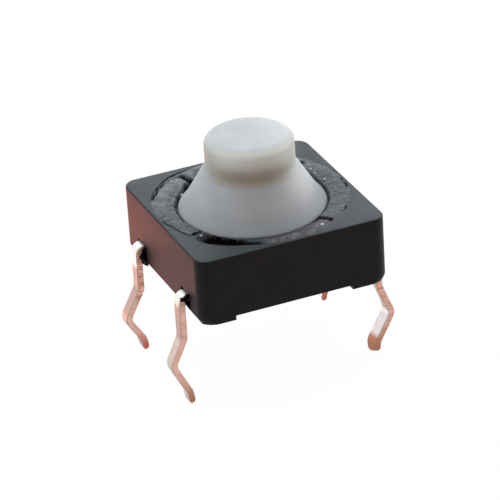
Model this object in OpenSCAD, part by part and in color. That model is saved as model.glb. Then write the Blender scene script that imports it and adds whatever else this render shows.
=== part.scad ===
// Tactile push button switch, 8 mm square, with a silicone dome key and four formed legs.
// Origin: centre of the footprint in the plane of the feet. X points along the legs' rows,
// from one terminal face to the other, Y along those faces, and +Z out through the button.

/* [Housing] */
// Side of the square housing
housing_w = 8; // [7:0.1:9]
// Height of the housing above the board, feet included
housing_h = 2.8; // [2.6:0.05:3.6]
// Radius of the upright corners
corner_r = 0.55; // [0.3:0.05:0.9]
// Height of the corner feet
foot_h = 0.21; // [0.1:0.01:0.3]
// Length of a foot along each side
foot_l = 1.37; // [1:0.01:1.5]
// Step back of the feet from the two terminal faces
foot_inset = 0.13; // [0.05:0.01:0.3]
// Thickness of the floor above the feet
floor_t = 0.68; // [0.6:0.02:0.8]

/* [Staked rim] */
// Land left between the faces and the tread of the staking tool
tread_land = 0.13; // [0.1:0.01:0.3]
// Depth of that tread below the corners
tread_drop = 0.06; // [0.03:0.01:0.12]
// Width of the tread, from its outer edge to the inside of the staked lip
tread_w = 0.82; // [0.7:0.02:1]
// Thickness of the lip that holds the dome down
lip_t = 0.42; // [0.3:0.02:0.5]
// Direction of the first of the four relief notches, in degrees
notch_turn = 31; // [20:1:40]
// Width of a relief notch
notch_w = 0.3; // [0.2:0.05:0.5]
// Length of a relief notch, outwards from the lip
notch_l = 0.42; // [0.3:0.02:0.6]
// Sweep of the stretch of lip that was pushed down, in degrees
sunk_sweep = 34; // [20:1:45]
// Width of the cuts that the edge of the tool left
bite_w = 0.1; // [0.06:0.01:0.14]
// Depth of those cuts below the tread
bite_depth = 0.2; // [0.1:0.02:0.3]

/* [Dome key] */
// Diameter of the cap that is pressed
cap_d = 3.58; // [3:0.02:4]
// Height of the cap's side
cap_h = 1.23; // [0.9:0.01:1.5]
// Radius of the cap's top edge
cap_edge_r = 0.32; // [0.1:0.02:0.5]
// Height of the switch above the board
switch_h = 5.68; // [5.4:0.02:6.4]
// Air between the skirt and the staked lip
skirt_gap = 0.16; // [0.1:0.02:0.3]
// Height of the foot of the skirt above the underside of the lip
skirt_rise = 0.36; // [0.3:0.02:0.5]
// Radius that rounds the foot of the skirt
skirt_r = 0.24; // [0.1:0.02:0.3]
// Thickness of the skirt, measured across
skirt_t = 0.45; // [0.35:0.01:0.6]
// How far the base ring reaches under the lip that traps it
ring_hold = 0.3; // [0.2:0.02:0.4]
// Width of the base ring, from its bore to its outer wall
ring_w = 1.05; // [0.9:0.05:1.2]
// Clearance all round the base ring
seat_gap = 0.03; // [0.01:0.01:0.05]
// Diameter of the plunger under the cap
plunger_d = 2.5; // [2.3:0.05:2.7]

/* [Contact] */
// Travel of the button to where the contact closes
travel = 0.9; // [0.6:0.05:1]
// Gap left between the pill and the contacts at full travel
closing_gap = 0.02; // [0.01:0.01:0.05]
// Diameter of the conductive pill
pill_d = 2.3; // [2:0.05:2.4]
// Thickness of the pill
pill_t = 0.35; // [0.25:0.05:0.45]
// Radius of the pair of half round contact pads
pad_r = 1.4; // [1.2:0.05:1.6]
// Gap between the two pads
pad_gap = 0.4; // [0.3:0.05:0.6]
// Width of the neck that joins a pad to its strip
neck_w = 0.9; // [0.6:0.05:1.2]

/* [Terminals] */
// Width of the terminal strip
strip_w = 0.55; // [0.45:0.01:0.7]
// Thickness of the terminal strip
strip_t = 0.27; // [0.2:0.01:0.3]
// Distance between the two legs on one face
leg_pitch = 4.5; // [4.2:0.05:4.8]
// Gap between a leg and the housing face
leg_gap = 0.09; // [0.05:0.01:0.2]
// Length of the straight leg below the board plane
shin_l = 1.05; // [0.6:0.05:1.4]
// Height of the stretch that slopes out to the knee
slope_out_l = 1.25; // [0.9:0.05:1.5]
// How far the knee stands out from the straight leg
knee_out = 0.5; // [0.2:0.05:0.7]
// Height of the stretch that slopes back from the knee
slope_in_l = 1.1; // [0.9:0.05:1.4]
// Set of the tip from the straight leg, outwards
tip_out = -0.1; // [-0.3:0.05:0.2]
// Length of the upright tip
tip_l = 0.57; // [0.4:0.05:0.8]
// Radius of the leg's middle line at its kinks
kink_r = 0.32; // [0.2:0.02:0.4]
// Width cut from each side of the sheared tip
tip_chamfer = 0.1; // [0.05:0.01:0.15]
// Width of the pocket in the housing around a leg
pocket_w = 1.25; // [0.9:0.05:1.5]
// Depth of that pocket
pocket_depth = 0.2; // [0.1:0.02:0.3]
// Height of the pocket above the strip
pocket_rise = 0.06; // [0.02:0.02:0.2]

/* [Hidden] */
$fn = 96;
cut = 0.5;          // how far a cutting tool passes the face that it opens

face_x = housing_w / 2;
floor_z = foot_h + floor_t;
tread_z = housing_h - tread_drop;
lip_z = tread_z - lip_t;
tread_r = face_x - tread_land;
lip_r = tread_r - tread_w;
ring_r = lip_r + ring_hold;
ring_bore_r = ring_r - ring_w;
well_r = ring_r + seat_gap;

cap_r = cap_d / 2;
cap_foot_z = switch_h - cap_h;
skirt_foot_r = lip_r - skirt_gap;
skirt_foot_z = lip_z + skirt_rise;
ring_top_z = lip_z - seat_gap;
ring_foot_z = floor_z + seat_gap;
pill_z = floor_z + travel + closing_gap;
plunger_z = pill_z + pill_t;
// Slope of the skirt, as the way out for each unit of the way down
skirt_slope = (skirt_foot_r - cap_r) / (cap_foot_z - skirt_foot_z);
// Top of the hollow beside the plunger, under the skirt's inner face
hollow_z = cap_foot_z - (plunger_d / 2 + skirt_t - cap_r) / skirt_slope;
hollow_foot_z = hollow_z - (ring_bore_r - plunger_d / 2) / skirt_slope;

strip_z = floor_z - strip_t / 2;
bend_r = leg_gap + strip_t / 2;
leg_x = face_x + bend_r;
knee_z = -shin_l - slope_out_l;
ankle_z = knee_z - slope_in_l;
tip_z = ankle_z - tip_l;

// Cuts of the tool's edge, each from one direction to another, in degrees
bites = [[127, 153], [187, 205], [344, 356]];
// How far each leg was bent out by handling, at the knee and at the tip
front_left = [0, 0];
front_right = [0, -0.04];
rear_left = [0.12, 0.14];
rear_right = [-0.15, -0.25];

// Middle line of a strip: each corner in turn is rounded by its radius, as [x, z, heading]
function heading(a, b) = atan2(b.y - a.y, b.x - a.x);
function turn(a, b) = (b - a + 540) % 360 - 180;
function bend(a, b, c, r, steps = 6) =
    let (h0 = heading(a, b), t = turn(h0, heading(b, c)), side = sign(t),
         start = b - r * tan(abs(t) / 2) * [cos(h0), sin(h0)],
         centre = start + side * r * [-sin(h0), cos(h0)])
    [for (k = [0:steps])
        let (h = h0 + t * k / steps)
        [centre.x + side * r * sin(h), centre.y - side * r * cos(h), h]];
function route(p, r) =
    let (last = len(p) - 1)
    [[p[0].x, p[0].y, heading(p[0], p[1])],
     for (i = [1:last - 1]) each bend(p[i - 1], p[i], p[i + 1], r[i - 1]),
     [p[last].x, p[last].y, heading(p[last - 1], p[last])]];
function edge(path, off) = [for (s = path) [s.x - off * sin(s[2]), s.y + off * cos(s[2])]];
function backwards(list) = [for (i = [len(list) - 1:-1:0]) list[i]];

// Corners of one leg from the shoulder to the tip, out along +X
function leg_corners(handling) = [
    [leg_x, strip_z],
    [leg_x, -shin_l],
    [leg_x + knee_out + handling[0], knee_z],
    [leg_x + tip_out + handling[1], ankle_z],
    [leg_x + tip_out + handling[1], tip_z]];
leg_radii = [bend_r, kink_r, kink_r, kink_r];

// Side view of a whole strip: a leg at each end and the straight run through the floor
module strip_side(left, right) {
    mirrored = [for (p = leg_corners(left)) [-p.x, p.y]];
    corners = concat(backwards(mirrored), leg_corners(right));
    path = route(corners, concat(backwards(leg_radii), leg_radii));
    polygon(concat(edge(path, strip_t / 2), backwards(edge(path, -strip_t / 2))));
}

// The two corners sheared off one leg's tip
module tip_cuts(x) {
    for (side = [-1, 1])
        translate([x - cut, side * strip_w / 2, tip_z])
            rotate([90, 0, 90])
                linear_extrude(2 * cut)
                    polygon([[-tip_chamfer, 0], [0, 2 * tip_chamfer], [cut, 2 * tip_chamfer],
                             [cut, -cut], [-tip_chamfer, -cut]] * [[side, 0], [0, 1]]);
}

// One stamped strip at the front: two legs, and a half round pad in the floor of the well
module strip_and_pad(left, right) {
    translate([0, -leg_pitch / 2, 0])
        difference() {
            translate([0, strip_w / 2, 0])
                rotate([90, 0, 0])
                    linear_extrude(strip_w)
                        strip_side(left, right);
            tip_cuts(-leg_x - tip_out - left[1]);
            tip_cuts(leg_x + tip_out + right[1]);
        }
    translate([0, 0, floor_z - strip_t])
        linear_extrude(strip_t) {
            intersection() {
                circle(pad_r);
                translate([-pad_r, -pad_r])
                    square([2 * pad_r, pad_r - pad_gap / 2]);
            }
            translate([-neck_w / 2, -leg_pitch / 2])
                square([neck_w, leg_pitch / 2 - pad_gap]);
        }
}

module front_terminal() {
    color("peru") strip_and_pad(front_left, front_right);
}

module rear_terminal() {
    color("peru")
        rotate([0, 0, 180])
            strip_and_pad(rear_right, rear_left);
}

// Square outline with round corners, as squares and circles that stay exact
module rounded_square() {
    inner = housing_w - 2 * corner_r;
    square([housing_w, inner], center = true);
    square([inner, housing_w], center = true);
    for (x = [-inner / 2, inner / 2], y = [-inner / 2, inner / 2])
        translate([x, y])
            circle(corner_r);
}

module feet() {
    linear_extrude(foot_h + floor_t / 2)
        intersection() {
            rounded_square();
            for (x = [-1, 1], y = [-1, 1])
                translate([x * (face_x - foot_inset - foot_l / 2), y * (face_x - foot_l / 2)])
                    square(foot_l, center = true);
        }
}

// Part of a ring between two directions, cut down from a height
module ring_cut(inner_r, outer_r, bottom, top, from, to) {
    rotate([0, 0, from])
        rotate_extrude(angle = to - from)
            translate([inner_r, bottom])
                square([outer_r - inner_r, top - bottom]);
}

module pockets() {
    for (x = [-1, 1], y = [-1, 1])
        translate([x * face_x, y * leg_pitch / 2, (floor_z + pocket_rise) / 2 - cut / 2])
            cube([2 * pocket_depth, pocket_w, floor_z + pocket_rise + cut], center = true);
}

module housing() {
    top = housing_h + cut;
    color("#2c2c2e")
        difference() {
            union() {
                translate([0, 0, foot_h])
                    linear_extrude(housing_h - foot_h)
                        rounded_square();
                feet();
            }
            // Well for the dome, and the opening that the staked lip leaves
            translate([0, 0, floor_z])
                cylinder(h = lip_z - floor_z, r = well_r);
            translate([0, 0, floor_z])
                cylinder(h = top - floor_z, r = lip_r);
            // Tread of the staking tool
            translate([0, 0, tread_z])
                cylinder(h = top - tread_z, r = tread_r);
            for (b = bites)
                ring_cut(tread_r - bite_w / 2, tread_r + bite_w / 2, tread_z - bite_depth, top,
                         b[0], b[1]);
            // Four relief notches, and the stretch of lip that was pushed down beside one
            for (k = [0:3])
                rotate([0, 0, notch_turn + 90 * k])
                    translate([lip_r - cut, -notch_w / 2, lip_z - cut])
                        cube([cut + notch_l, notch_w, top - lip_z + cut]);
            ring_cut(lip_r - cut / 2, tread_r - bite_w, lip_z + lip_t / 4, top,
                     notch_turn + 180, notch_turn + 180 + sunk_sweep);
            pockets();
            strip_and_pad(front_left, front_right);
            rotate([0, 0, 180])
                strip_and_pad(rear_right, rear_left);
        }
}

// Half section of the moulded silicone key: cap, skirt, base ring and hollow underside
module key_section() {
    skirt_angle = atan(skirt_slope);
    edge_centre = [cap_r - cap_edge_r, switch_h - cap_edge_r];
    foot_centre = [skirt_foot_r - skirt_r, skirt_foot_z - skirt_r * tan(skirt_angle / 2)];
    polygon(concat(
        [[0, plunger_z], [0, switch_h]],
        [for (a = [90:-10:0]) edge_centre + cap_edge_r * [cos(a), sin(a)]],
        [[cap_r, cap_foot_z]],
        [for (a = [90 - (90 - skirt_angle):-10:0])
            foot_centre + skirt_r * [cos(a), sin(a)]],
        [[skirt_foot_r, ring_top_z], [ring_r, ring_top_z], [ring_r, ring_foot_z],
         [ring_bore_r, ring_foot_z], [ring_bore_r, hollow_foot_z],
         [plunger_d / 2, hollow_z], [plunger_d / 2, plunger_z]]));
}

module dome_key() {
    color("silver")
        rotate_extrude()
            key_section();
}

module contact_pill() {
    color("#1a1a1a")
        translate([0, 0, pill_z])
            cylinder(h = pill_t, d = pill_d);
}

housing();
dome_key();
contact_pill();
front_terminal();
rear_terminal();
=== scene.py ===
# %% [markdown]
# A tactile push button switch, 8 mm square. The CAD model gives the frame: real sizes in metres,
# +Z up, the origin under the middle of the housing in the plane of its feet. Everything below
# is placed from that frame, so nothing has to be fitted by eye afterwards.

# %% Load the frame
from collections import namedtuple
import math
import bmesh
import bpy
from mathutils import Matrix, Vector, noise


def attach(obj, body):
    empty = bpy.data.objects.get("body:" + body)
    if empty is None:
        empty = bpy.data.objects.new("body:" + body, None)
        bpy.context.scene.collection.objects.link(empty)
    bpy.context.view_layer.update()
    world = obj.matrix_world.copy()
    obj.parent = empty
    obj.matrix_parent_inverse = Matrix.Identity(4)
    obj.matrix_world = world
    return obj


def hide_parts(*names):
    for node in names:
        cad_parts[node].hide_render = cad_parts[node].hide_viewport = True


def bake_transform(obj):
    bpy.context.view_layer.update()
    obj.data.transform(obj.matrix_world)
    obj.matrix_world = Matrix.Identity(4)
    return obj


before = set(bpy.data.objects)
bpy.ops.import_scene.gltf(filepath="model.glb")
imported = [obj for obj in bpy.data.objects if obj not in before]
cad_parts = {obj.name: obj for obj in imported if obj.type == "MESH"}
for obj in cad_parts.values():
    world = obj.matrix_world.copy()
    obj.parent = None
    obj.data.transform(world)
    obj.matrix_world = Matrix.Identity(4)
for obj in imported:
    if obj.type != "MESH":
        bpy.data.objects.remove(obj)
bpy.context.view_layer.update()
MM = 0.001

# %% [markdown]
# The driving sizes, in millimetres. They repeat the real object's, so that a piece modelled here
# lies where the solid that it stands for lies. Heights count from the board, where the feet stand.

# %% Sizes of the real object
HALF = 4.0               # half the side of the square housing
TOP = 2.80               # top of the housing's corners
TREAD = 2.74             # face that the staking tool left, a little lower
TREAD_R = 3.87           # outer radius of that face
LIP_T = 0.42             # thickness of the lip
CAP_R = 1.79             # cap of the silicone key
CAP_TOP = 5.68
CAP_FOOT = 4.45          # where the cap meets the skirt
SKIRT_R = 2.89           # foot of the skirt
SKIRT_FOOT = 2.68
RING_R = 3.35            # base ring trapped under the lip
RING_TOP = 2.29
RING_FOOT = 0.92
STRIP_W = 0.55           # terminal strip, width across the leg
STRIP_T = 0.27           # and its thickness
STRIP_Z = 0.755          # middle of the strip where it leaves the housing
LEG_PITCH = 4.5
LEG_GAP = 0.09           # air between a leg and the housing

# %% [markdown]
# The photograph was taken from the front left and from above, with a long lens. Eight corners of
# the housing were enough to solve for the camera: where it stands, how far it leans, and how
# much it enlarges. The lean is a roll of a few degrees, so the camera is turned about its own
# line of sight last.

# %% Camera
CAMERA_AZIMUTH = -21.836     # degrees, from straight in front towards the left
CAMERA_ELEVATION = 27.976
CAMERA_ROLL = -3.583
CAMERA_DISTANCE = 132.32     # mm from the origin's plane, along the line of sight
CAMERA_ASIDE = (0.252, -0.457)   # mm that the origin lies right of and above the centre
FOCAL_PIXELS = 3314.84
FRAME_PIXELS = 500
SENSOR_MM = 36.0


def camera_axes():
    """Unit vectors to the right, up and backwards of the camera."""
    a, e, r = (math.radians(v) for v in (CAMERA_AZIMUTH, CAMERA_ELEVATION, CAMERA_ROLL))
    back = Vector((math.sin(a) * math.cos(e), -math.cos(a) * math.cos(e), math.sin(e)))
    level = Vector((0, 0, 1)).cross(back).normalized()
    upright = back.cross(level)
    right = level * math.cos(r) + upright * math.sin(r)
    up = upright * math.cos(r) - level * math.sin(r)
    return right, up, back


def make_camera():
    right, up, back = camera_axes()
    place = back * CAMERA_DISTANCE - right * CAMERA_ASIDE[0] - up * CAMERA_ASIDE[1]
    data = bpy.data.cameras.new("camera")
    data.sensor_width = SENSOR_MM
    data.lens = FOCAL_PIXELS / FRAME_PIXELS * SENSOR_MM
    data.clip_start = 0.01
    data.clip_end = 10
    camera = bpy.data.objects.new("camera", data)
    bpy.context.scene.collection.objects.link(camera)
    turn = Matrix((right, up, back)).transposed().to_4x4()
    camera.matrix_world = Matrix.Translation(place * MM) @ turn
    bpy.context.scene.camera = camera
    return camera


camera = make_camera()
print("camera lens, mm:", round(camera.data.lens, 1), "at", [round(v, 4) for v in camera.location])

# %% [markdown]
# A shader is easier to read as a sum than as a web of nodes, so one small class wraps a socket.
# Adding, subtracting or multiplying two of them adds the Math node that does it. Colours go
# through Mix instead, because a Math node would turn them grey.

# %% Shader maths
class Value:
    """A socket of a material, on which sums can be written."""

    def __init__(self, shader, socket):
        self.shader = shader
        self.socket = socket

    def math(self, operation, *others, clamp=False):
        values = dict(enumerate((self,) + others))
        return self.shader.node("ShaderNodeMath", values, operation=operation, use_clamp=clamp)

    def __add__(self, other):
        return self.math("ADD", other)

    def __sub__(self, other):
        return self.math("SUBTRACT", other)

    def __rsub__(self, other):
        return self.shader.node("ShaderNodeMath", {0: other, 1: self}, operation="SUBTRACT")

    def __mul__(self, other):
        return self.math("MULTIPLY", other)

    __radd__ = __add__
    __rmul__ = __mul__

    def clamp(self):
        return self.math("ADD", 0.0, clamp=True)

    def soft_step(self, low, high):
        """0 below low, 1 above high and smooth between."""
        return self.shader.node("ShaderNodeMapRange", {"Value": self, "From Min": low, "From Max": high},
                                interpolation_type="SMOOTHSTEP")


class Shader:
    """One material with a Principled shader, whose sockets take numbers or Values."""

    def __init__(self, name):
        self.material = bpy.data.materials.new(name)
        self.material.use_nodes = True
        self.tree = self.material.node_tree
        self.surface = self.tree.nodes["Principled BSDF"]
        self.place = self.node("ShaderNodeTexCoord", output="Object")

    def node(self, kind, values=None, output=0, **settings):
        made = self.tree.nodes.new(kind)
        for key, setting in settings.items():
            setattr(made, key, setting)
        for key, value in (values or {}).items():
            self.feed(made.inputs[key], value)
        return Value(self, made.outputs[output])

    def feed(self, socket, value):
        if isinstance(value, Value):
            self.tree.links.new(value.socket, socket)
        else:
            socket.default_value = value

    def set(self, **values):
        """Feeds sockets of the Principled shader, such as base_color or coat_weight."""
        names = {s.name.lower().replace(" ", "_"): s for s in self.surface.inputs}
        for key, value in values.items():
            self.feed(names[key], value)
        return self

    def noise(self, size_mm, detail=2.0, rough=0.5, stretch=(1, 1, 1)):
        """Noise whose lumps are about size_mm across, from 0 to 1."""
        scale = tuple(s / (size_mm * MM) for s in stretch)
        spread = self.node("ShaderNodeMapping", {"Vector": self.place, "Scale": scale})
        return self.node("ShaderNodeTexNoise",
                         {"Vector": spread, "Scale": 1.0, "Detail": detail, "Roughness": rough})

    def attribute(self, name):
        """A number that was noted on the points or the corners of the mesh."""
        return self.node("ShaderNodeAttribute", output="Fac", attribute_name=name)

    def mix(self, factor, a, b):
        """Colour a where the factor is 0 and colour b where it is 1."""
        mixed = self.tree.nodes.new("ShaderNodeMix")
        mixed.data_type = "RGBA"
        sockets = [s for s in mixed.inputs if s.type == "RGBA"]
        self.feed(mixed.inputs[0], factor)
        self.feed(sockets[0], a)
        self.feed(sockets[1], b)
        return Value(self, next(s for s in mixed.outputs if s.type == "RGBA"))

    def split(self):
        """The three parts of the place on the object, in metres."""
        parts = self.tree.nodes.new("ShaderNodeSeparateXYZ")
        self.tree.links.new(self.place.socket, parts.inputs[0])
        return [Value(self, s) for s in parts.outputs]

    def bump(self, height, strength, depth_mm):
        return self.node("ShaderNodeBump", {"Height": height, "Strength": strength,
                                            "Distance": depth_mm * MM})


def colour(red, green, blue):
    """A display colour from 0 to 255, as the linear values that a shader wants."""
    def linear(v):
        v /= 255
        return v / 12.92 if v <= 0.04045 else ((v + 0.055) / 1.055) ** 2.4
    return (linear(red), linear(green), linear(blue), 1.0)


print("shader helpers ready")

# %% [markdown]
# The housing is black glass-filled nylon from a spark-eroded mould: its skin has a fine grain
# that scatters light. The top is painted paler than the sides, grey where they are nearly black,
# a painted sheen of the lamps with some dust, and paler still towards the front right corner;
# the height above the board tells top from side. Where the staking tool crushed the lip, the
# plastic is torn and paler, painted paler still and mottled in front as a painted highlight, and
# near black where it was pushed deep, a painted shade. The mesh notes that depth on its points.

# %% Housing plastic
def housing_plastic():
    m = Shader("housing_plastic")
    grain = m.noise(0.035, detail=3.0)
    blotch = m.noise(0.7, detail=2.0)
    x, y, z = m.split()
    on_top = z.soft_step(2.755 * MM, 2.795 * MM)
    scuff = m.noise(0.07, detail=2.0, rough=0.6).soft_step(0.73, 0.76)
    scuff *= z.soft_step(TREAD * MM, 2.78 * MM)
    shade = m.mix(blotch.soft_step(0.3, 0.7), colour(23, 20, 20), colour(29, 25, 25))
    # Painted sheen: the top is painted paler than the sides, with some dust, and paler still towards the
    # front right corner
    top_sheen_and_dust = m.mix(blotch.soft_step(0.3, 0.7), colour(57, 63, 66), colour(66, 72, 76))
    top_sheen_and_dust = m.mix((x - y).soft_step(4.2 * MM, 7.2 * MM), top_sheen_and_dust, colour(70, 75, 81))
    shade = m.mix(on_top, shade, top_sheen_and_dust)
    shade = m.mix(scuff, shade, colour(130, 132, 135))
    m.set(base_color=shade, roughness=0.40 + 0.12 * grain, specular_ior_level=0.11,
          normal=m.bump(grain, 0.35, 0.008))
    return m.material


def crushed_plastic():
    m = Shader("crushed_plastic")
    grain = m.noise(0.06, detail=4.0, rough=0.65)
    torn = m.noise(0.20, detail=4.0, rough=0.65).soft_step(0.45, 0.70)
    chip = m.noise(0.085, detail=1.0).soft_step(0.74, 0.78) * m.noise(0.9).soft_step(0.45, 0.6)
    sunk = m.attribute("sunk")
    _, y, _ = m.split()
    shade = m.mix(torn, colour(50, 54, 58), colour(78, 83, 88))
    mottle = m.noise(0.4, detail=3.0).soft_step(0.35, 0.65)
    front = 1 - y.soft_step(-3.5 * MM, -2.5 * MM)
    back = y.soft_step(0.3 * MM, 2.3 * MM)
    # Painted highlight: the front of the lip is painted paler and mottled where its rounded crest
    # catches the light; towards the back it is paler too
    shade = m.mix(front, shade, m.mix(mottle, colour(52, 53, 57), colour(90, 90, 96)))
    shade = m.mix(back, shade, m.mix(mottle, colour(66, 71, 75), colour(104, 109, 114)))
    # Painted shade: the deeper a point of the lip was pushed, the nearer black it is painted
    shade = m.mix(sunk.soft_step(0.02, 0.24), shade, colour(14, 14, 16))
    shade = m.mix(chip, shade, colour(205, 206, 208))
    m.set(base_color=shade, roughness=0.42 + 0.2 * grain, specular_ior_level=0.32,
          normal=m.bump(grain, 0.25, 0.012))
    return m.material


def melted_plastic():
    """Painted shade: a near black for the bottoms of the trench and the ledge and for the collars beside
    the legs.
    """
    m = Shader("melted_plastic")
    grain = m.noise(0.1, detail=2.0)
    shade = m.mix(grain, colour(8, 8, 10), colour(15, 15, 18))
    m.set(base_color=shade, roughness=0.6 + 0.1 * grain, specular_ior_level=0.04,
          normal=m.bump(grain, 0.3, 0.02))
    return m.material


def torn_flake():
    """Flakes that stand up from the torn lip. Thin, stretched plastic turns nearly white."""
    m = Shader("torn_flake")
    grain = m.noise(0.03, detail=2.0)
    shade = m.mix(grain, colour(170, 172, 175), colour(232, 233, 235))
    m.set(base_color=shade, roughness=0.35 + 0.1 * grain, normal=m.bump(grain, 0.3, 0.01))
    return m.material


# %% [markdown]
# The key is filled silicone. Light goes a little way into it, so its shadows are soft and its
# thin edges glow. A subsurface part with a radius well under a millimetre does that. The rim and
# upper side of the cap are painted paler as well, a painted highlight. The skin is satin, with
# faint dust and lint. A band of brown painted shade runs round the front, where the skirt meets
# the cap, and the skirt is painted darker towards its foot and on its lower right, painted shade,
# and paler on its upper right, a painted highlight. Each point keeps its height at rest, in
# millimetres, so that the colours go down with the cap.

# %% Silicone
SPECK = (0.08, -0.80)    # X and Y of a speck on the top of the cap, in mm
# Heights in mm between which the band of brown painted shade, the painted shade at the foot of the skirt
# and the painted highlight on the cap's rim come in and fade out
BROWN_SHADE_FROM = (4.10, 4.42)
BROWN_SHADE_TO = (4.64, 5.25)
SHADED_FOOT_TO = (2.4, 3.6)
LIT_RIM_FROM = (4.35, 4.6)


def silicone():
    m = Shader("silicone")
    cloud = m.noise(1.1, detail=2.0)
    dust = m.noise(0.06, detail=3.0, rough=0.6)
    lint = m.noise(0.11, detail=1.0).soft_step(0.74, 0.78)
    x, y, _ = m.split()
    far = (x * x + y * y).math("SQRT")
    height = m.attribute("height")
    # Painted shade, brown, in a band round the foot of the cap, in front
    brown_foot_shade = height.soft_step(*BROWN_SHADE_FROM) * (1 - height.soft_step(*BROWN_SHADE_TO))
    front = 1 - (y + x * 0.4).soft_step(-1.9 * MM, -0.4 * MM)
    # Painted highlight: the rim and upper side of the cap are painted paler, most of all in front
    lit_cap_rim = height.soft_step(*LIT_RIM_FROM) * far.soft_step(1.46 * MM, 1.76 * MM)
    shade = m.mix(cloud.soft_step(0.25, 0.75), colour(189, 194, 197), colour(197, 202, 205))
    # Painted shade: the skirt is darker towards its foot
    shade = m.mix(1 - height.soft_step(*SHADED_FOOT_TO), shade, colour(168, 172, 177))
    # Painted shade on the lower right of the skirt
    shaded_low_right = (1 - height.soft_step(2.8, 3.6)) * x.soft_step(0.6 * MM, 2.2 * MM)
    shade = m.mix(shaded_low_right, shade, colour(157, 161, 167))
    # Painted highlight on the upper right of the skirt
    lit_high_right = height.soft_step(3.2, 4.0) * x.soft_step(-0.2 * MM, 1.6 * MM)
    shade = m.mix(lit_high_right, shade, colour(210, 214, 216))
    painted_pale = m.mix(front * height.soft_step(4.4, 5.0), colour(210, 214, 209), colour(241, 244, 237))
    shade = m.mix(lit_cap_rim, shade, painted_pale)
    shade = m.mix(brown_foot_shade * front * 0.74, shade, colour(170, 157, 134))
    shade = m.mix(lint * 0.5, shade, colour(235, 235, 236))
    aside, ahead = x - SPECK[0] * MM, y - SPECK[1] * MM
    away = (aside * aside + ahead * ahead).math("SQRT")
    speck = (1 - away.soft_step(0.03 * MM, 0.09 * MM)) * height.soft_step(5.5, 5.6)
    shade = m.mix(speck * 0.4, shade, colour(150, 150, 152))
    m.set(base_color=shade, roughness=0.45 + 0.12 * dust, specular_ior_level=0.35,
          subsurface_weight=0.5, subsurface_scale=0.5 * MM,
          normal=m.bump(dust, 0.12, 0.006))
    m.surface.inputs["Subsurface Radius"].default_value = (1.0, 0.95, 0.85)
    return m.material


# %% [markdown]
# The terminals are stamped from phosphor bronze with a thin bright plating on the rolled faces.
# The press sheared the narrow faces, which are bare metal with fine ribs across the strip, and
# the tips are darkest. Attributes noted on the mesh while it is made say which face is which,
# how far down the leg a point lies, how ribbed that leg is, where its plating is worn off and
# where it is painted paler low on the leg, a painted reflection, so the material follows the
# strip round its bends. The plating at the shoulders is painted near white too, a painted
# highlight; the rolled faces of the right legs are painted paler, a painted reflection; and the
# bevels between the faces are painted darker, a painted shade.

# %% Terminal metal
# Shares of the way down a leg between which a change runs
SHIN_TO = (0.30, 0.50)
TIP_FROM = (0.64, 0.95)
# Heights in mm between which the plating at the shoulder is painted near white, a painted highlight, and
# how much lower on a ribbed leg
SHOULDER_HIGHLIGHT_FROM = (0.20, 0.50)
RIBBED_LOWER = 0.5


def terminal_metal():
    m = Shader("terminal_metal")
    names = ("sheared", "along", "worn", "ribbed", "painted_pale")
    sheared, along, worn, ribbed, painted_pale = (m.attribute(name) for name in names)
    x, y, z = m.split()
    right = x.soft_step(-1.0 * MM, 1.0 * MM)
    back = y.soft_step(-1.0 * MM, 1.0 * MM)
    tip = along.soft_step(*TIP_FROM)
    shin = (1 - along.soft_step(*SHIN_TO) * (1 - right * 0.6)) * ribbed
    # Painted highlight: near the shoulder the plating is painted near white
    shoulder = (z + ribbed * (RIBBED_LOWER * MM)).soft_step(*(h * MM for h in SHOULDER_HIGHLIGHT_FROM))
    patch = m.noise(0.8, detail=2.0).soft_step(0.42, 0.62)
    wear = m.noise(0.32, detail=2.0)
    ribs = m.noise(0.05, detail=1.0, stretch=(0.1, 0.1, 1.0)).soft_step(0.40, 0.56)
    # Random patches of bright plating, the painted highlight at the shoulder and the painted reflection
    # low on the leg
    plating_and_painted_light = (patch * 0.25 + shoulder + painted_pale * 0.8).clamp()
    plating = m.mix(ribbed, colour(212, 206, 200), colour(178, 167, 158))
    # Painted reflection: on the right legs the plating and the rolled faces of the shins are painted
    # paler
    plating = m.mix(right, plating, colour(246, 251, 252))
    shin_face = m.mix(ribbed, colour(190, 158, 144), colour(158, 156, 150))
    shin_face = m.mix(right, shin_face, colour(206, 176, 162))
    rolled = m.mix(plating_and_painted_light, shin_face, m.mix(shoulder, plating, colour(234, 234, 231)))
    bare = m.mix(wear.soft_step(0.3, 0.7), colour(212, 166, 148), colour(230, 194, 178))
    bare = m.mix((1 - ribs) * shin, bare, colour(168, 112, 90))
    bare = m.mix(tip, bare, m.mix(back, colour(174, 122, 92), colour(188, 98, 78)))
    # Painted shade: the bevels between sheared and rolled faces are painted darker
    edge = 1 - ((sheared - 0.5) * 2.0).math("ABSOLUTE")
    shade = m.mix(sheared.math("MAXIMUM", worn), rolled, bare)
    shade = m.mix(edge * 0.5, shade, colour(140, 118, 108))
    m.set(base_color=shade, metallic=0.92 - 0.1 * sheared,
          roughness=0.44 + 0.02 * sheared + 0.1 * wear,
          normal=m.bump(wear + ribs * shin * sheared * 2.0, 0.2, 0.010))
    return m.material


def carbon_rubber():
    m = Shader("carbon_rubber")
    grain = m.noise(0.04, detail=2.0)
    shade = m.mix(grain, colour(20, 20, 20), colour(32, 32, 33))
    m.set(base_color=shade, roughness=0.7 + 0.1 * grain, normal=m.bump(grain, 0.3, 0.01))
    return m.material


MATERIALS = {"plastic": housing_plastic(), "crushed": crushed_plastic(), "shade_black": melted_plastic(),
             "flake": torn_flake(), "silicone": silicone(), "metal": terminal_metal(),
             "pill": carbon_rubber()}
print("materials:", ", ".join(MATERIALS))

# %% [markdown]
# Every new piece ends the same way: its mesh, which was modelled in millimetres, is scaled to
# metres, its doubles are merged and its faces turned outwards, and its object sits at the
# origin and rides on a body of the frame. The silicone key is given no body here, because it
# stretches between two.

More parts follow.
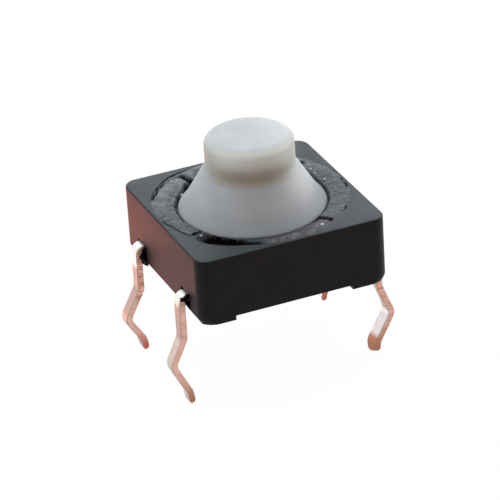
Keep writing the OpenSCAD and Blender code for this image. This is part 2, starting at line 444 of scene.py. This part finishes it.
# %% From a bmesh to a piece
def finish_piece(name, bm, body, materials, replaced=(), smooth=35):
    bmesh.ops.remove_doubles(bm, verts=bm.verts, dist=1e-5)
    bmesh.ops.recalc_face_normals(bm, faces=bm.faces)
    bmesh.ops.scale(bm, vec=(MM, MM, MM), verts=bm.verts)
    mesh = bpy.data.meshes.new(name)
    bm.to_mesh(mesh)
    bm.free()
    for material in materials:
        mesh.materials.append(material)
    mesh.shade_smooth()
    mesh.set_sharp_from_angle(angle=math.radians(smooth))
    piece = bpy.data.objects.new(name, mesh)
    bpy.context.scene.collection.objects.link(piece)
    if body:
        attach(piece, body)
    if replaced:
        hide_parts(*replaced)
    print(name, len(mesh.polygons), "faces")
    return piece


def spin_profile(bm, points, steps):
    """Turns a half section of (radius, height) points once round the upright axis."""
    verts = [bm.verts.new((r, 0, z)) for r, z in points]
    edges = [bm.edges.new(pair) for pair in zip(verts, verts[1:])]
    bmesh.ops.spin(bm, geom=verts + edges, cent=(0, 0, 0), axis=(0, 0, 1), dvec=(0, 0, 0),
                   angle=math.tau, steps=steps, use_merge=True, use_duplicate=False)


def rounded(points, radii, steps=5):
    """The same outline with arcs in place of its corners; a radius of 0 leaves one sharp."""
    out = []
    for i, (point, r) in enumerate(zip(points, radii)):
        p = Vector(point)
        if not r:
            out.append(tuple(p))
            continue
        a = (Vector(points[i - 1]) - p).normalized()
        b = (Vector(points[i + 1]) - p).normalized()
        half = a.angle(b) / 2
        centre = p + (a + b).normalized() * r / math.sin(half)
        start = p + a * r / math.tan(half) - centre
        sweep = (math.pi - 2 * half) * (1 if a.cross(b) < 0 else -1)
        for k in range(steps + 1):
            t = sweep * k / steps
            out.append((centre.x + start.x * math.cos(t) - start.y * math.sin(t),
                        centre.y + start.x * math.sin(t) + start.y * math.cos(t)))
    return out


# %% [markdown]
# The housing starts as one spun profile: up the inside of the lip, over the tread of the staking
# tool, across the corner land and down the side. Spinning gives the round part its even mesh.
# The outer points are then pushed out to the rounded square, so round and square share one skin
# and no seam has to be hidden.

# %% Housing, spun and squared
SPIN_STEPS = 600
CORNER_R = 0.55
EDGE_R = 0.07            # softness of the top edge
WELL_R = 3.38            # the well that holds the base ring, and its floor
WELL_FLOOR = 0.89
WALL_RINGS = (2.4, 1.9, 1.4, 0.9, 0.5, 0.22, 0.17, 0.12, 0.06)   # heights of points down the side
LIP_IN = 2.99            # where the crushed ledge ends, close to the silicone
LIP_STEPS = 28           # rings of faces across the tread, for the crushed surface
FOOT_ROUND = 0.22        # how much rounder the corners are at the feet
FOOT_ROUND_TOP = 0.22    # and up to what height


def ramp(value, low, high):
    t = min(max((value - low) / (high - low), 0.0), 1.0)
    return t * t * (3 - 2 * t)


def square_reach(angle, inset, corner):
    """Distance from the axis to a square with round corners, drawn in by inset."""
    half = HALF - inset
    r = max(corner - inset, 0.01)
    c, s = abs(math.cos(angle)), abs(math.sin(angle))
    flat = half / max(c, s)
    x, y = flat * c, flat * s
    core = half - r
    if x <= core or y <= core:
        return flat
    along = core * (c + s)
    return along + math.sqrt(along * along - (2 * core * core - r * r))


def housing_profile():
    lip_foot = TREAD - LIP_T
    tread = [(LIP_IN + (TREAD_R - LIP_IN) * k / LIP_STEPS, TREAD) for k in range(LIP_STEPS + 1)]
    arc = [(HALF - EDGE_R + EDGE_R * math.sin(a), TOP - EDGE_R + EDGE_R * math.cos(a))
           for a in (math.radians(15 * k) for k in range(7))]
    wall = [(HALF, z) for z in WALL_RINGS]
    return ([(0, WELL_FLOOR), (WELL_R, WELL_FLOOR), (WELL_R, lip_foot), (LIP_IN, lip_foot)]
            + tread + [(TREAD_R + 0.005, TOP)] + arc + wall + [(HALF, 0.0), (0, 0.0)])


def make_housing():
    bm = bmesh.new()
    spin_profile(bm, housing_profile(), SPIN_STEPS)
    for v in bm.verts:
        r = math.hypot(v.co.x, v.co.y)
        if r > TREAD_R + 0.01:
            corner = CORNER_R + FOOT_ROUND * (1 - ramp(v.co.z, 0.0, FOOT_ROUND_TOP))
            reach = square_reach(math.atan2(v.co.y, v.co.x), HALF - r, corner)
            v.co.x *= reach / r
            v.co.y *= reach / r
    return bm


housing_bm = make_housing()
print("housing skin:", len(housing_bm.faces), "faces before the lip is crushed")

# %% [markdown]
# Heat staking leaves the most telling marks on this switch. A hot ring pressed the round wall
# down and in over the silicone, in four stretches with a relief notch between each. Beside one
# notch the plastic was pushed well down in a trench, the edge of the tool bit in at five places,
# and the whole tread is torn and uneven. Here are the sizes and places of those marks, in
# millimetres. Directions are in degrees anticlockwise from +X.

# %% Marks of the staking tool
# Relief notches: direction, half width, radius of the end
NOTCHES = ((33, 0.09, 3.75), (117.5, 0.12, 3.85), (206.5, 0.06, 3.65), (303, 0.09, 3.74))
NOTCH_DEPTH = 0.4
# Spans of directions where the edge of the tool bit in
BITES = ((128, 148), (180, 206), (318, 322), (348, 353), (356, 359))
BITE_DEPTH = 0.16
# Two spans that the tool left smooth and a little higher, with the softness of their ends
SMOOTH = (((306, 472), 8), ((155, 176), 5))
SMOOTH_RISE = 0.052
# Points of three outlines, as (direction, radius): where the ledge beside the silicone ends,
# where the trench begins and where the tread ends
LIP_EDGE = ((0, 3.02), (15, 3.10), (30, 3.34), (34, 3.08), (120, 3.08), (123, 3.26), (133, 3.08),
            (146, 3.06), (160, 3.08), (172, 3.05), (200, 3.04), (222, 3.05), (232, 3.20), (241, 3.45),
            (250, 3.42), (264, 3.40), (281, 3.26), (299, 3.20), (303, 3.02), (320, 3.03),
            (329, 3.04), (342, 3.05), (350, 3.03), (360, 3.02))
TRENCH = ((211, 2.97), (236, 2.97), (242, 3.14), (248, 3.32), (253, 3.42))
OUTSIDE = ((0, 3.88), (20, 3.96), (34, 4.00), (60, 3.90), (110, 3.92), (122, 4.10), (150, 4.06),
           (170, 3.90), (182, 3.86), (190, 3.78), (206, 3.78), (214, 3.92), (222, 4.00), (231, 3.96),
           (242, 3.86), (300, 3.87), (360, 3.88))
# How deep that ledge was pushed, as (direction, depth)
LEDGE = ((0, 0.16), (30, 0.24), (110, 0.24), (150, 0.22), (165, 0.15), (205, 0.14), (240, 0.12),
         (298, 0.11), (360, 0.16))
TRENCH_DEPTH = 0.46
TRENCH_SPAN = (213, 252)
TRENCH_SLOPE = (3.58, 3.80)  # radii between which its outer side rises, most of the way
TRENCH_RIM = (3.74, 3.97)    # and the rest of it
SPREAD_FROM = 3.35       # radius from which the tread is drawn out or in to its outline
SMOOTH_FROM = (3.4, 3.8)
CREST_R = 3.52           # radius of the low crest that runs round the tread
CREST_RISE = 0.05
print("deepest marks, mm:", max(depth for _, depth in LEDGE), NOTCH_DEPTH, TRENCH_DEPTH)

# %% [markdown]
# The marks are depths that depend on direction and radius, so each is a small sum, and together
# they move the points of the tread. Sculpting by hand would look as good, but nobody could change
# it later. Smooth noise adds the unevenness, because it is the same in each run.

# %% Crush the lip
def within(angle, span, soft):
    """1 inside a span of directions, falling to 0 over soft degrees at each end."""
    middle, half = (span[0] + span[1]) / 2, (span[1] - span[0]) / 2
    away = abs((angle - middle + 180) % 360 - 180)
    return 1 - ramp(away, half - soft, half + soft)


def outline(points, angle):
    """The radius of an outline in one direction, straight between its points."""
    for (a, low), (b, high) in zip(points, points[1:]):
        if a <= angle <= b:
            return low + (high - low) * (angle - a) / (b - a)
    return points[0][1] if angle < points[0][0] else points[-1][1]


def notch_depth(x, y, r):
    depth = 0.0
    for turn, half, reach in NOTCHES:
        a = math.radians(turn)
        ahead = x * math.cos(a) + y * math.sin(a)
        aside = abs(y * math.cos(a) - x * math.sin(a))
        if ahead > 0:
            beside = 1 - ramp(aside, half * 0.7, half * 1.3)
            depth = max(depth, beside * (1 - ramp(r, reach - 0.08, reach)))
    return depth * NOTCH_DEPTH


def crush(bm):
    """Moves the points of the tread and notes on each how deep it was pushed."""
    sunk = bm.verts.layers.float.new("sunk")
    for v in bm.verts:
        r = math.hypot(v.co.x, v.co.y)
        if r > TREAD_R + 0.006 or r < LIP_IN - 0.01 or v.co.z < TREAD - 0.1:
            continue
        angle = math.degrees(math.atan2(v.co.y, v.co.x)) % 360
        place = Vector((v.co.x, v.co.y, 0))
        out = r + (outline(OUTSIDE, angle) - TREAD_R) * ramp(r, SPREAD_FROM, TREAD_R)
        v.co.x *= out / r
        v.co.y *= out / r
        if r > TREAD_R:
            continue
        wobble = noise.noise(place * 2.6) * 0.05 + noise.noise(place * 9) * 0.02
        swell = noise.noise(place * 1.6 + Vector((3, 0, 0))) * 0.03 + noise.noise(place * 5) * 0.02
        around = Vector((out * 6, 2.4 * v.co.x / out, 2.4 * v.co.y / out))
        ridged = 0.012 - 0.006 * within(angle, SMOOTH[0][0], 10)
        fine = noise.noise(place * 13) * 0.006 + noise.noise(around) * ridged
        crest = CREST_RISE * (1 - ramp(abs(out - CREST_R), 0.05, 0.34))
        edge = outline(LIP_EDGE, angle)
        ledge = (1 - ramp(out + wobble, edge - 0.06, edge + 0.06)) * outline(LEDGE, angle)
        near = outline(TRENCH, angle)
        shoulder = 1 - 0.70 * ramp(out + wobble * 0.5, *TRENCH_SLOPE) - 0.30 * ramp(out, *TRENCH_RIM)
        trench = within(angle, TRENCH_SPAN, 4) * ramp(out + wobble, near - 0.03, near + 0.10)
        trench *= shoulder * TRENCH_DEPTH
        bite = max(within(angle, span, 3 if span[1] - span[0] > 9 else 1) for span in BITES)
        bite *= 1 - ramp(abs(r + wobble * 0.5 - TREAD_R + 0.06), 0.01, 0.04)
        smooth = max(within(angle, span, soft) for span, soft in SMOOTH)
        smooth *= SMOOTH_RISE * ramp(out, *SMOOTH_FROM)
        depth = max(ledge, trench, notch_depth(v.co.x, v.co.y, out))
        inside = 1 - ramp(r, TREAD_R - 0.03, TREAD_R)
        v.co.z += inside * (swell + fine + crest - depth) - bite * BITE_DEPTH + smooth
        v[sunk] = depth + bite * 0.2
    return sunk


sunk = crush(housing_bm)
print("deepest point of the lip, mm:", round(max(v[sunk] for v in housing_bm.verts), 2))

# %% [markdown]
# One mesh carries four materials, because the torn lip and the moulded skin are one piece of
# plastic. Each face gets the number of its material from its place and its depth.

# %% Housing piece
SHADE_BLACK_DEPTH = 0.22      # faces pushed deeper than this get the near black of painted shade
HOUSING_SLOTS = ("plastic", "crushed", "shade_black", "flake")


def choose_materials(bm, sunk):
    """Plastic, or on the lip crushed plastic, and the near black of painted shade where it was pushed
    deep.
    """
    for face in bm.faces:
        middle = face.calc_center_median()
        far = math.hypot(middle.x, middle.y)
        deep = sum(v[sunk] for v in face.verts) / len(face.verts)
        angle = math.degrees(math.atan2(middle.y, middle.x)) % 360
        on_lip = LIP_IN < far < outline(OUTSIDE, angle) and middle.z > TREAD - LIP_T
        slot = ("shade_black" if deep > SHADE_BLACK_DEPTH else "crushed") if on_lip else "plastic"
        face.material_index = HOUSING_SLOTS.index(slot)


choose_materials(housing_bm, sunk)
housing = finish_piece("housing_body", housing_bm, "base",
                       [MATERIALS[name] for name in HOUSING_SLOTS],
                       ("housing",), smooth=40)

# %% [markdown]
# The underside and the pockets are straight cuts. A Boolean takes one box at a time out of the
# finished skin: the hollow between the front and rear feet, the one between left and right, the
# steps at the outer ends, and a pocket round each leg. Each Boolean is applied at once, so that
# the piece that is kept is a plain mesh.

# %% Feet and pockets
FOOT_H = 0.21
HOLLOW_X = (-2.58, 2.40)     # ends of the hollow that shows in front
HOLLOW_TOP = 0.185
FOOT_IN_Y = 2.63         # inner end of a foot, in Y
FOOT_OUT = 3.87          # outer end, a step in from the terminal faces
POCKET_NEAR = 0.60       # from the middle of a leg to the end of its pocket
POCKET_FAR = 0.34        # and to the other end
POCKET_DEPTH = 0.20
POCKET_TOP = 0.92
POCKET_FOOT = 0.30
PAST = 0.6               # how far a cutting box passes the skin


def cut_box(piece, low, high):
    bm = bmesh.new()
    bmesh.ops.create_cube(bm, size=1)
    size = [b - a for a, b in zip(low, high)]
    middle = [(b + a) / 2 for a, b in zip(low, high)]
    bmesh.ops.scale(bm, vec=[s * MM for s in size], verts=bm.verts)
    bmesh.ops.translate(bm, vec=[m * MM for m in middle], verts=bm.verts)
    mesh = bpy.data.meshes.new("cutter")
    bm.to_mesh(mesh)
    bm.free()
    cutter = bpy.data.objects.new("cutter", mesh)
    bpy.context.scene.collection.objects.link(cutter)
    modifier = piece.modifiers.new("cut", "BOOLEAN")
    modifier.operation = "DIFFERENCE"
    modifier.solver = "EXACT"
    modifier.object = cutter
    apply_modifiers(piece)
    bpy.data.objects.remove(cutter)
    bpy.data.meshes.remove(mesh)


def apply_modifiers(piece):
    bpy.context.view_layer.update()
    seen = piece.evaluated_get(bpy.context.evaluated_depsgraph_get())
    mesh = bpy.data.meshes.new_from_object(seen)
    piece.modifiers.clear()
    old = piece.data
    piece.data = mesh
    bpy.data.meshes.remove(old)


reach = HALF + PAST
cut_box(housing, (HOLLOW_X[0], -reach, -PAST), (HOLLOW_X[1], reach, HOLLOW_TOP))
cut_box(housing, (-reach, -FOOT_IN_Y, -PAST), (reach, FOOT_IN_Y, FOOT_H))
for side in (-1, 1):
    ends = sorted((side * FOOT_OUT, side * reach))
    cut_box(housing, (ends[0], -reach, -PAST), (ends[1], reach, FOOT_H))
    for row in (-1, 1):
        y = row * LEG_PITCH / 2
        ends = sorted((side * (HALF - POCKET_DEPTH), side * reach))
        reach_y = sorted((y + side * POCKET_NEAR, y - side * POCKET_FAR))
        cut_box(housing, (ends[0], reach_y[0], POCKET_FOOT), (ends[1], reach_y[1], POCKET_TOP))
print("housing after its cuts:", len(housing.data.polygons), "faces")

# %% [markdown]
# Where a strip leaves the mould, a little plastic always creeps along it. Beside the shoulder of
# each leg sits a rough collar of it in the near black of painted shade, which also stands for the
# shade beside the shoulder, and one crumb hangs below the edge at the rear left.
# They are small spheres, pressed flat and roughened, and sunk into the wall of the pocket.
# Smaller ones, nearly white, are the flakes on the torn lip.

# %% Flash beside the legs, flakes on the lip
# Each flake as X, Y and size, in mm
FLAKES = ((-2.28, 1.81, 0.06), (-1.99, 3.05, 0.06), (-2.19, 3.06, 0.07), (-1.16, 3.86, 0.06),
          (-1.07, 3.65, 0.05), (3.15, 1.34, 0.06), (3.36, 1.17, 0.05), (3.14, 0.93, 0.05),
          (3.23, 0.22, 0.06), (3.70, -1.09, 0.05), (1.52, -3.29, 0.09), (1.28, -3.34, 0.07),
          (-2.96, -1.80, 0.06), (-3.61, 0.20, 0.05), (3.21, 1.66, 0.08), (3.87, 0.31, 0.05),
          (3.80, 2.57, 0.035), (3.92, 2.08, 0.035))

# Each lump as X, Y from the middle of the leg, Z and radii; on one leg it climbed the shoulder
FLASH = ((4.00, 0.34, 0.66, (0.11, 0.08, 0.08)), (4.08, 0.30, 0.37, (0.15, 0.15, 0.09)))
FLASH_HIGH = ((4.00, 0.35, 0.74, (0.12, 0.12, 0.10)), (4.12, 0.28, 0.62, (0.17, 0.16, 0.10)))
CRUMB = ((-4.02, 1.90, 0.17), (0.12, 0.28, 0.12))     # its middle and its radii


def add_lump(bm, centre, radii, seed, material="plastic", detail=3):
    made = bmesh.ops.create_icosphere(bm, subdivisions=detail, radius=1.0)
    for face in {f for v in made["verts"] for f in v.link_faces}:
        face.material_index = HOUSING_SLOTS.index(material)
        face.smooth = True
    for v in made["verts"]:
        rough = 1 + 0.35 * noise.noise(v.co * 1.6 + Vector((seed, 0, 0))) + 0.05 * noise.noise(v.co * 4)
        v.co = Vector([(c + q * rough * size) * MM for c, q, size in zip(centre, v.co, radii)])


def add_flash(piece):
    bm = bmesh.new()
    bm.from_mesh(piece.data)
    for side in (-1, 1):
        for row in (-1, 1):
            y = row * LEG_PITCH / 2
            seed = 3 * side + 7 * row
            lumps = FLASH_HIGH if side < 0 and row < 0 else FLASH
            for k, (x, aside, z, radii) in enumerate(lumps):
                # The collars take the near black of painted shade
                add_lump(bm, (side * x, y + side * aside, z), radii, seed + 20 * k, "shade_black")
    add_lump(bm, *CRUMB, 40)
    for number, (x, y, size) in enumerate(FLAKES):
        radii = (size, size * 0.8, size * 0.7)
        add_lump(bm, (x, y, TREAD + 0.02), radii, 50 + number, "flake", detail=2)
    bm.to_mesh(piece.data)
    bm.free()


add_flash(housing)
print("housing with its flash:", len(housing.data.polygons), "faces")

# %% [markdown]
# The key is one silicone moulding and a plain solid of revolution: cap, skirt, a foot that
# flares and rounds over, the base ring that the lip traps, and the plunger inside. Its profile
# is written as corners, each with a radius, from the middle of the cap round to the middle of
# the plunger's end. The skirt has many rings of faces, because it has to fold smoothly.

# %% Silicone key
KEY_STEPS = 160
FLARE = 0.08             # how far the foot of the skirt stands out
RING_IN = 2.30           # inner radius of the base ring
INNER_FOOT = 2.34        # where the inner face of the skirt begins
PLUNGER_R = 1.25
PLUNGER_ROOT = 4.02
PLUNGER_END = 2.16
PROFILE_STEP = 0.12      # length of a face along the profile, short where the skirt folds


def key_profile():
    corners = [(0, CAP_TOP), (CAP_R, CAP_TOP), (CAP_R, CAP_FOOT)]
    radii = [0, 0.36, 0.30]
    corners += [(SKIRT_R - 0.24, SKIRT_FOOT + 0.34), (SKIRT_R + FLARE, SKIRT_FOOT - 0.05),
                (SKIRT_R + FLARE / 2, RING_TOP)]
    radii += [1.60, 0.12, 0.02]
    corners += [(RING_R, RING_TOP), (RING_R, RING_FOOT), (RING_IN, RING_FOOT), (RING_IN, INNER_FOOT)]
    radii += [0.08, 0.08, 0.08, 0.2]
    corners += [(PLUNGER_R, PLUNGER_ROOT), (PLUNGER_R, PLUNGER_END), (0, PLUNGER_END)]
    radii += [0.1, 0.08, 0]
    return rounded(corners, radii, steps=8)


def make_key():
    bm = bmesh.new()
    points = []
    profile = key_profile()
    for a, b in zip(profile, profile[1:]):
        parts = max(1, round(math.dist(a, b) / PROFILE_STEP))
        points += [(a[0] + (b[0] - a[0]) * k / parts, a[1] + (b[1] - a[1]) * k / parts)
                   for k in range(parts)]
    spin_profile(bm, points + [profile[-1]], KEY_STEPS)
    height = bm.verts.layers.float.new("height")
    for v in bm.verts:
        v[height] = v.co.z
    return bm


key = finish_piece("silicone_key", make_key(), None, (MATERIALS["silicone"],),
                   ("dome_key",), smooth=60)
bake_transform(key)

# %% [markdown]
# Each terminal is one strip, bent in a press: a straight run through the floor and a kinked leg
# at both ends. A rectangular section swept along a rounded route is the natural way to make it.
# The route is written as corners, the same for every leg, plus the little that handling bent
# each one. The section's edges are bevelled, because a sheared edge catches the light.

# %% Route and section of a leg
LEG_X = HALF + LEG_GAP + STRIP_T / 2
KNEE = (0.50, -2.30)      # out from the straight leg, and height
ANKLE = (-0.10, -3.40)
TIP = -3.97
SHIN = -1.05
ROWS = {-1: "front", 1: "rear"}
# How handling bent each leg: out at the knee and at the tip, along the row, twisted in degrees,
# and down at the knee, the ankle and the tip
Bend = namedtuple("Bend", "knee tip along_row twist knee_down ankle_down tip_down")
HANDLING = {("front", -1): Bend(0.04, 0.02, 0.0, 0, -0.12, 0.03, 0.03),
            ("front", 1): Bend(-0.02, -0.14, 0.0, -15, 0.05, 0.20, 0.13),
            ("rear", -1): Bend(0.18, 0.16, 0.0, 0, 0.02, -0.11, -0.14),
            ("rear", 1): Bend(-0.15, -0.28, 0.12, 12, 0.0, 0.15, -0.1)}
TOE_IN = 0.12            # how far the tips of the left legs bend back in
LOWEST = TIP - 0.17      # the lowest tip, where handling bent it down
EDGE_BEVEL = 0.035
ROUTE_STEP = 0.06        # length of a face along the strip


def leg_route(side, bend):
    ankle = LEG_X + ANKLE[0] + bend.tip
    corners = [(0, STRIP_Z), (LEG_X, STRIP_Z), (LEG_X, SHIN),
               (LEG_X + KNEE[0] + bend.knee, KNEE[1] - bend.knee_down),
               (ankle, ANKLE[1] - bend.ankle_down),
               (ankle - (TOE_IN if side < 0 else 0.0), TIP - bend.tip_down)]
    radii = [0, LEG_GAP + STRIP_T / 2, 0.5, 0.45, 0.55, 0]
    return [(side * x, z) for x, z in rounded(corners, radii, steps=8)]


def strip_section():
    """Corners of the strip's section, with the sheared edges softened."""
    w, t, b = STRIP_W / 2, STRIP_T / 2, EDGE_BEVEL
    return [(w - b, t), (w, t - b), (w, -t + b), (w - b, -t), (-w + b, -t), (-w, -t + b), (-w, t - b),
            (-w + b, t)]


def fine_route(route):
    """The route again, with points no more than about ROUTE_STEP apart."""
    fine = []
    for a, b in zip(route, route[1:]):
        parts = max(1, round(math.dist(a, b) / ROUTE_STEP))
        fine += [Vector(a).lerp(Vector(b), k / parts) for k in range(parts)]
    return fine + [Vector(route[-1])]


for leg, bend in HANDLING.items():
    print("route of the leg at", leg, "has", len(fine_route(leg_route(leg[1], bend))), "points")

# %% [markdown]
# The sweep puts one ring of points at each step of the route and skins them. A curve with a
# bevel profile would be shorter, but rings can also taper towards the tip, twist as the two
# right legs did, lose the chip at the tip of the front one, and carry the attributes that the
# material reads.

# %% Sweep of a leg
CHIPPED = ("front", 1)   # the leg whose tip is chipped
# How ribbed the sheared faces of each leg are, and how much two shoulders hang, in mm
RIBBED = {("front", -1): 0.15, ("front", 1): 0.9, ("rear", -1): 1.0, ("rear", 1): 0.9}
DROOP = {("front", -1): 0.12, ("rear", -1): 0.06}
TAPER_LENGTH = 0.45      # how far above its end a leg begins to narrow
BLUNT_LENGTH = 0.13      # and to thin
CHIP_LENGTH = 0.30
BARE_LENGTH = 0.05       # bare metal at the tip, longer on the chipped leg
BARE_LENGTH_CHIPPED = 0.45


def leg_ring(bm, p, ahead, end, row, side, layers):
    """One ring of points round the strip at p, where the strip runs on towards ahead."""
    leg = (ROWS[row], side)
    bend = HANDLING[leg]
    chipped = leg == CHIPPED
    down = -p.y
    out = Vector((-ahead.y, ahead.x)) * -side
    along_row = bend.along_row * ramp(down, 0.0, -TIP)
    # The twist starts a little the other way under the housing and comes in round the knee
    twist = 1.3 * ramp(down, 1.7, 2.8) - 0.3 * ramp(down, 0.0, 0.6)
    twist *= math.radians(bend.twist) * side
    taper = 1 - 0.20 * ramp(down, end - TAPER_LENGTH, end) - 0.15 * ramp(down, end - 0.1, end)
    blunt = 1 - 0.40 * ramp(down, end - BLUNT_LENGTH, end)
    droop = DROOP.get(leg, 0.0) * ramp(abs(p.x), HALF - 0.6, HALF - 0.1)
    chip = 0.6 * ramp(down, end - CHIP_LENGTH, end) if chipped else 0.0
    bare_from = -TIP - (BARE_LENGTH_CHIPPED if chipped else BARE_LENGTH)
    ring = []
    for across, through in strip_section():
        aside = across * taper * math.cos(twist)
        x = p.x + out.x * through * blunt + across * taper * math.sin(twist)
        z = p.y - droop + out.y * through * blunt
        z += chip * max(0.0, -0.93 * aside - 0.37 * (x - p.x))
        vert = bm.verts.new((x, row * LEG_PITCH / 2 + aside + along_row, z))
        vert[layers["along"]] = max(down, 0) / -TIP
        vert[layers["worn"]] = ramp(down, bare_from - 0.27, bare_from)
        vert[layers["ribbed"]] = RIBBED[leg]
        # Painted reflection: the rolled faces low on each leg are painted paler, lower down on the right
        # legs
        vert[layers["painted_pale"]] = ramp(down, 1.0, 1.3) if side < 0 else ramp(down, 2.1, 2.4)
        ring.append(vert)
    return ring


def sweep_leg(bm, row, side, layers):
    """Skins the rings of one leg and half its strip, and notes which faces were sheared."""
    route = leg_route(side, HANDLING[(ROWS[row], side)])
    end = -route[-1][1]
    fine = fine_route(route)
    rings = []
    for i, p in enumerate(fine):
        ahead = (fine[min(i + 1, len(fine) - 1)] - fine[max(i - 1, 0)]).normalized()
        rings.append(leg_ring(bm, p, ahead, end, row, side, layers))
    count = len(strip_section())
    for a, b in zip(rings, rings[1:]):
        for k in range(count):
            face = bm.faces.new((a[k], a[(k + 1) % count], b[(k + 1) % count], b[k]))
            # 1 on the sheared faces, 0 on the rolled ones and 0.5 on the bevels between them
            sheared = 1.0 if k in (1, 5) else 0.5 * (k % 2 == 0)
            for loop in face.loops:
                loop[layers["sheared"]] = sheared
    for ring in (rings[0], rings[-1]):
        face = bm.faces.new(ring)
        for loop in face.loops:
            loop[layers["sheared"]] = 1.0


print("sweep ready, with", len(strip_section()), "points in a ring")

# %% [markdown]
# Front and rear strip are the same part, and each is one mesh with its two legs. The halves
# meet in the middle of the floor, out of sight.

# %% Terminal strips
def make_terminal(piece_name, row):
    bm = bmesh.new()
    layers = {name: bm.verts.layers.float.new(name) for name in ("along", "ribbed", "worn", "painted_pale")}
    layers["sheared"] = bm.loops.layers.float.new("sheared")
    for side in (-1, 1):
        sweep_leg(bm, row, side, layers)
    return finish_piece(piece_name, bm, "base", (MATERIALS["metal"],),
                        (ROWS[row] + "_terminal",), smooth=25)


for row, name in ROWS.items():
    make_terminal(name + "_strip", row)

# %% [markdown]
# The conductive pill is hidden under the cap. Its CAD solid has the right shape already, so it
# only gets its material.

# %% Contact pill
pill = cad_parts["contact_pill"]
pill.data.materials.clear()
pill.data.materials.append(MATERIALS["pill"])
print("pill:", len(pill.data.polygons), "faces")

# %% [markdown]
# The studio is plain, and its floor lies just under the tips of the legs. Seen by the camera it
# is white and still keeps the shadow, so most of what shows is a glow and the rest is the lit
# surface. The light that the floor scatters back on the switch stays that of a grey card.

# %% Floor
FLOOR_GLOW = 1.09        # strength of the white that the camera sees on the floor
FLOOR_SEEN = 0.88        # how much of it shows; the rest is the lit floor with its shadow


def seen_directly(shader):
    """1 for rays from the camera, a mirror or glass, and 0 for light that is only scattered."""
    rays = [shader.node("ShaderNodeLightPath", output=name)
            for name in ("Is Camera Ray", "Is Glossy Ray", "Is Transmission Ray")]
    return (rays[0] + rays[1] + rays[2]).clamp()


def make_floor():
    bm = bmesh.new()
    bmesh.ops.create_grid(bm, x_segments=1, y_segments=1, size=0.6)
    bmesh.ops.translate(bm, vec=(0, 0, (LOWEST - 0.01) * MM), verts=bm.verts)
    mesh = bpy.data.meshes.new("floor")
    bm.to_mesh(mesh)
    bm.free()
    floor = bpy.data.objects.new("floor", mesh)
    bpy.context.scene.collection.objects.link(floor)
    m = Shader("floor_white")
    m.set(base_color=(0.6, 0.6, 0.6, 1), roughness=0.9, specular_ior_level=0.0)
    glow = m.node("ShaderNodeEmission", {"Color": (1, 1, 1, 1), "Strength": FLOOR_GLOW},
                  output="Emission")
    shown = m.tree.nodes.new("ShaderNodeMixShader")
    m.feed(shown.inputs[0], seen_directly(m) * FLOOR_SEEN)
    m.tree.links.new(m.surface.outputs[0], shown.inputs[1])
    m.tree.links.new(glow.socket, shown.inputs[2])
    m.tree.links.new(shown.outputs[0], m.tree.nodes["Material Output"].inputs["Surface"])
    mesh.materials.append(m.material)


make_floor()
print("floor at, mm:", round(LOWEST - 0.01, 2))

# %% [markdown]
# The world is white for the camera and for mirrors, and only a weak fill for everything else.
# The same three kinds of ray make the difference as on the floor.

# %% World
WORLD_LEVEL = 0.15


def make_world(strength):
    world = bpy.data.worlds.new("studio")
    world.use_nodes = True
    bpy.context.scene.world = world
    tree = world.node_tree
    sky = tree.nodes["Background"]
    sky.inputs["Color"].default_value = (1, 1, 1, 1)
    path = tree.nodes.new("ShaderNodeLightPath")
    white = path.outputs["Is Camera Ray"]
    for name in ("Is Glossy Ray", "Is Transmission Ray"):
        either = tree.nodes.new("ShaderNodeMath")
        either.operation = "MAXIMUM"
        tree.links.new(white, either.inputs[0])
        tree.links.new(path.outputs[name], either.inputs[1])
        white = either.outputs[0]
    seen = tree.nodes.new("ShaderNodeMix")
    seen.inputs[2].default_value = strength
    seen.inputs[3].default_value = 1.0
    tree.links.new(white, seen.inputs[0])
    tree.links.new(seen.outputs[0], sky.inputs["Strength"])


make_world(WORLD_LEVEL)
print("world level:", WORLD_LEVEL)

# %% [markdown]
# Soft lamps shine from above, from both sides and from behind, with nothing bright beside the
# camera. That is what leaves the front of the cap and of the housing darker than their tops and
# edges. Two small red lamps lie low on the left, one well behind and one nearer, and tint the
# left face and the legs. A third, very weak, warms the lower edges in front.

# %% Lamps
COOL = (0.95, 0.98, 1.0)
RED = (1.0, 0.20, 0.13)
PALE_RED = (1.0, 0.30, 0.25)


def lamp(name, place_mm, size_mm, level, tint=(1, 1, 1), aim_mm=(0, 0, 0)):
    """A soft lamp that faces the aim. Its level is what it adds to a white face turned to it."""
    data = bpy.data.lights.new(name, "AREA")
    data.shape = "RECTANGLE"
    data.size, data.size_y = (v * MM for v in size_mm)
    way = (Vector(place_mm) - Vector(aim_mm)) * MM
    data.energy = level * math.pi ** 2 * way.length_squared
    data.color = tint
    made = bpy.data.objects.new(name, data)
    bpy.context.scene.collection.objects.link(made)
    turn = way.to_track_quat("Z", "Y").to_matrix().to_4x4()
    made.matrix_world = Matrix.Translation(Vector(place_mm) * MM) @ turn
    made.visible_camera = False


bpy.context.scene.view_settings.view_transform = "Standard"
lamp("overhead", (-5, 20, 120), (120, 120), 0.66)
lamp("behind", (32, 110, 61), (140, 90), 0.40, COOL)
lamp("left", (-120, 5, 30), (80, 60), 0.18)
lamp("right", (118, -5, 28), (80, 60), 0.44)
lamp("warm_card", (-7, 14.5, -3.5), (11, 3), 1.9, RED, aim_mm=(-4.6, 14.5, 1.4))
lamp("warm_card_near", (-7, 5.8, -3.5), (2.6, 3), 0.30, RED, aim_mm=(-4.6, 5.8, 1.4))
lamp("warm_front", (6, -40, -3), (30, 1.6), 0.06, PALE_RED, aim_mm=(0, -4, 0))
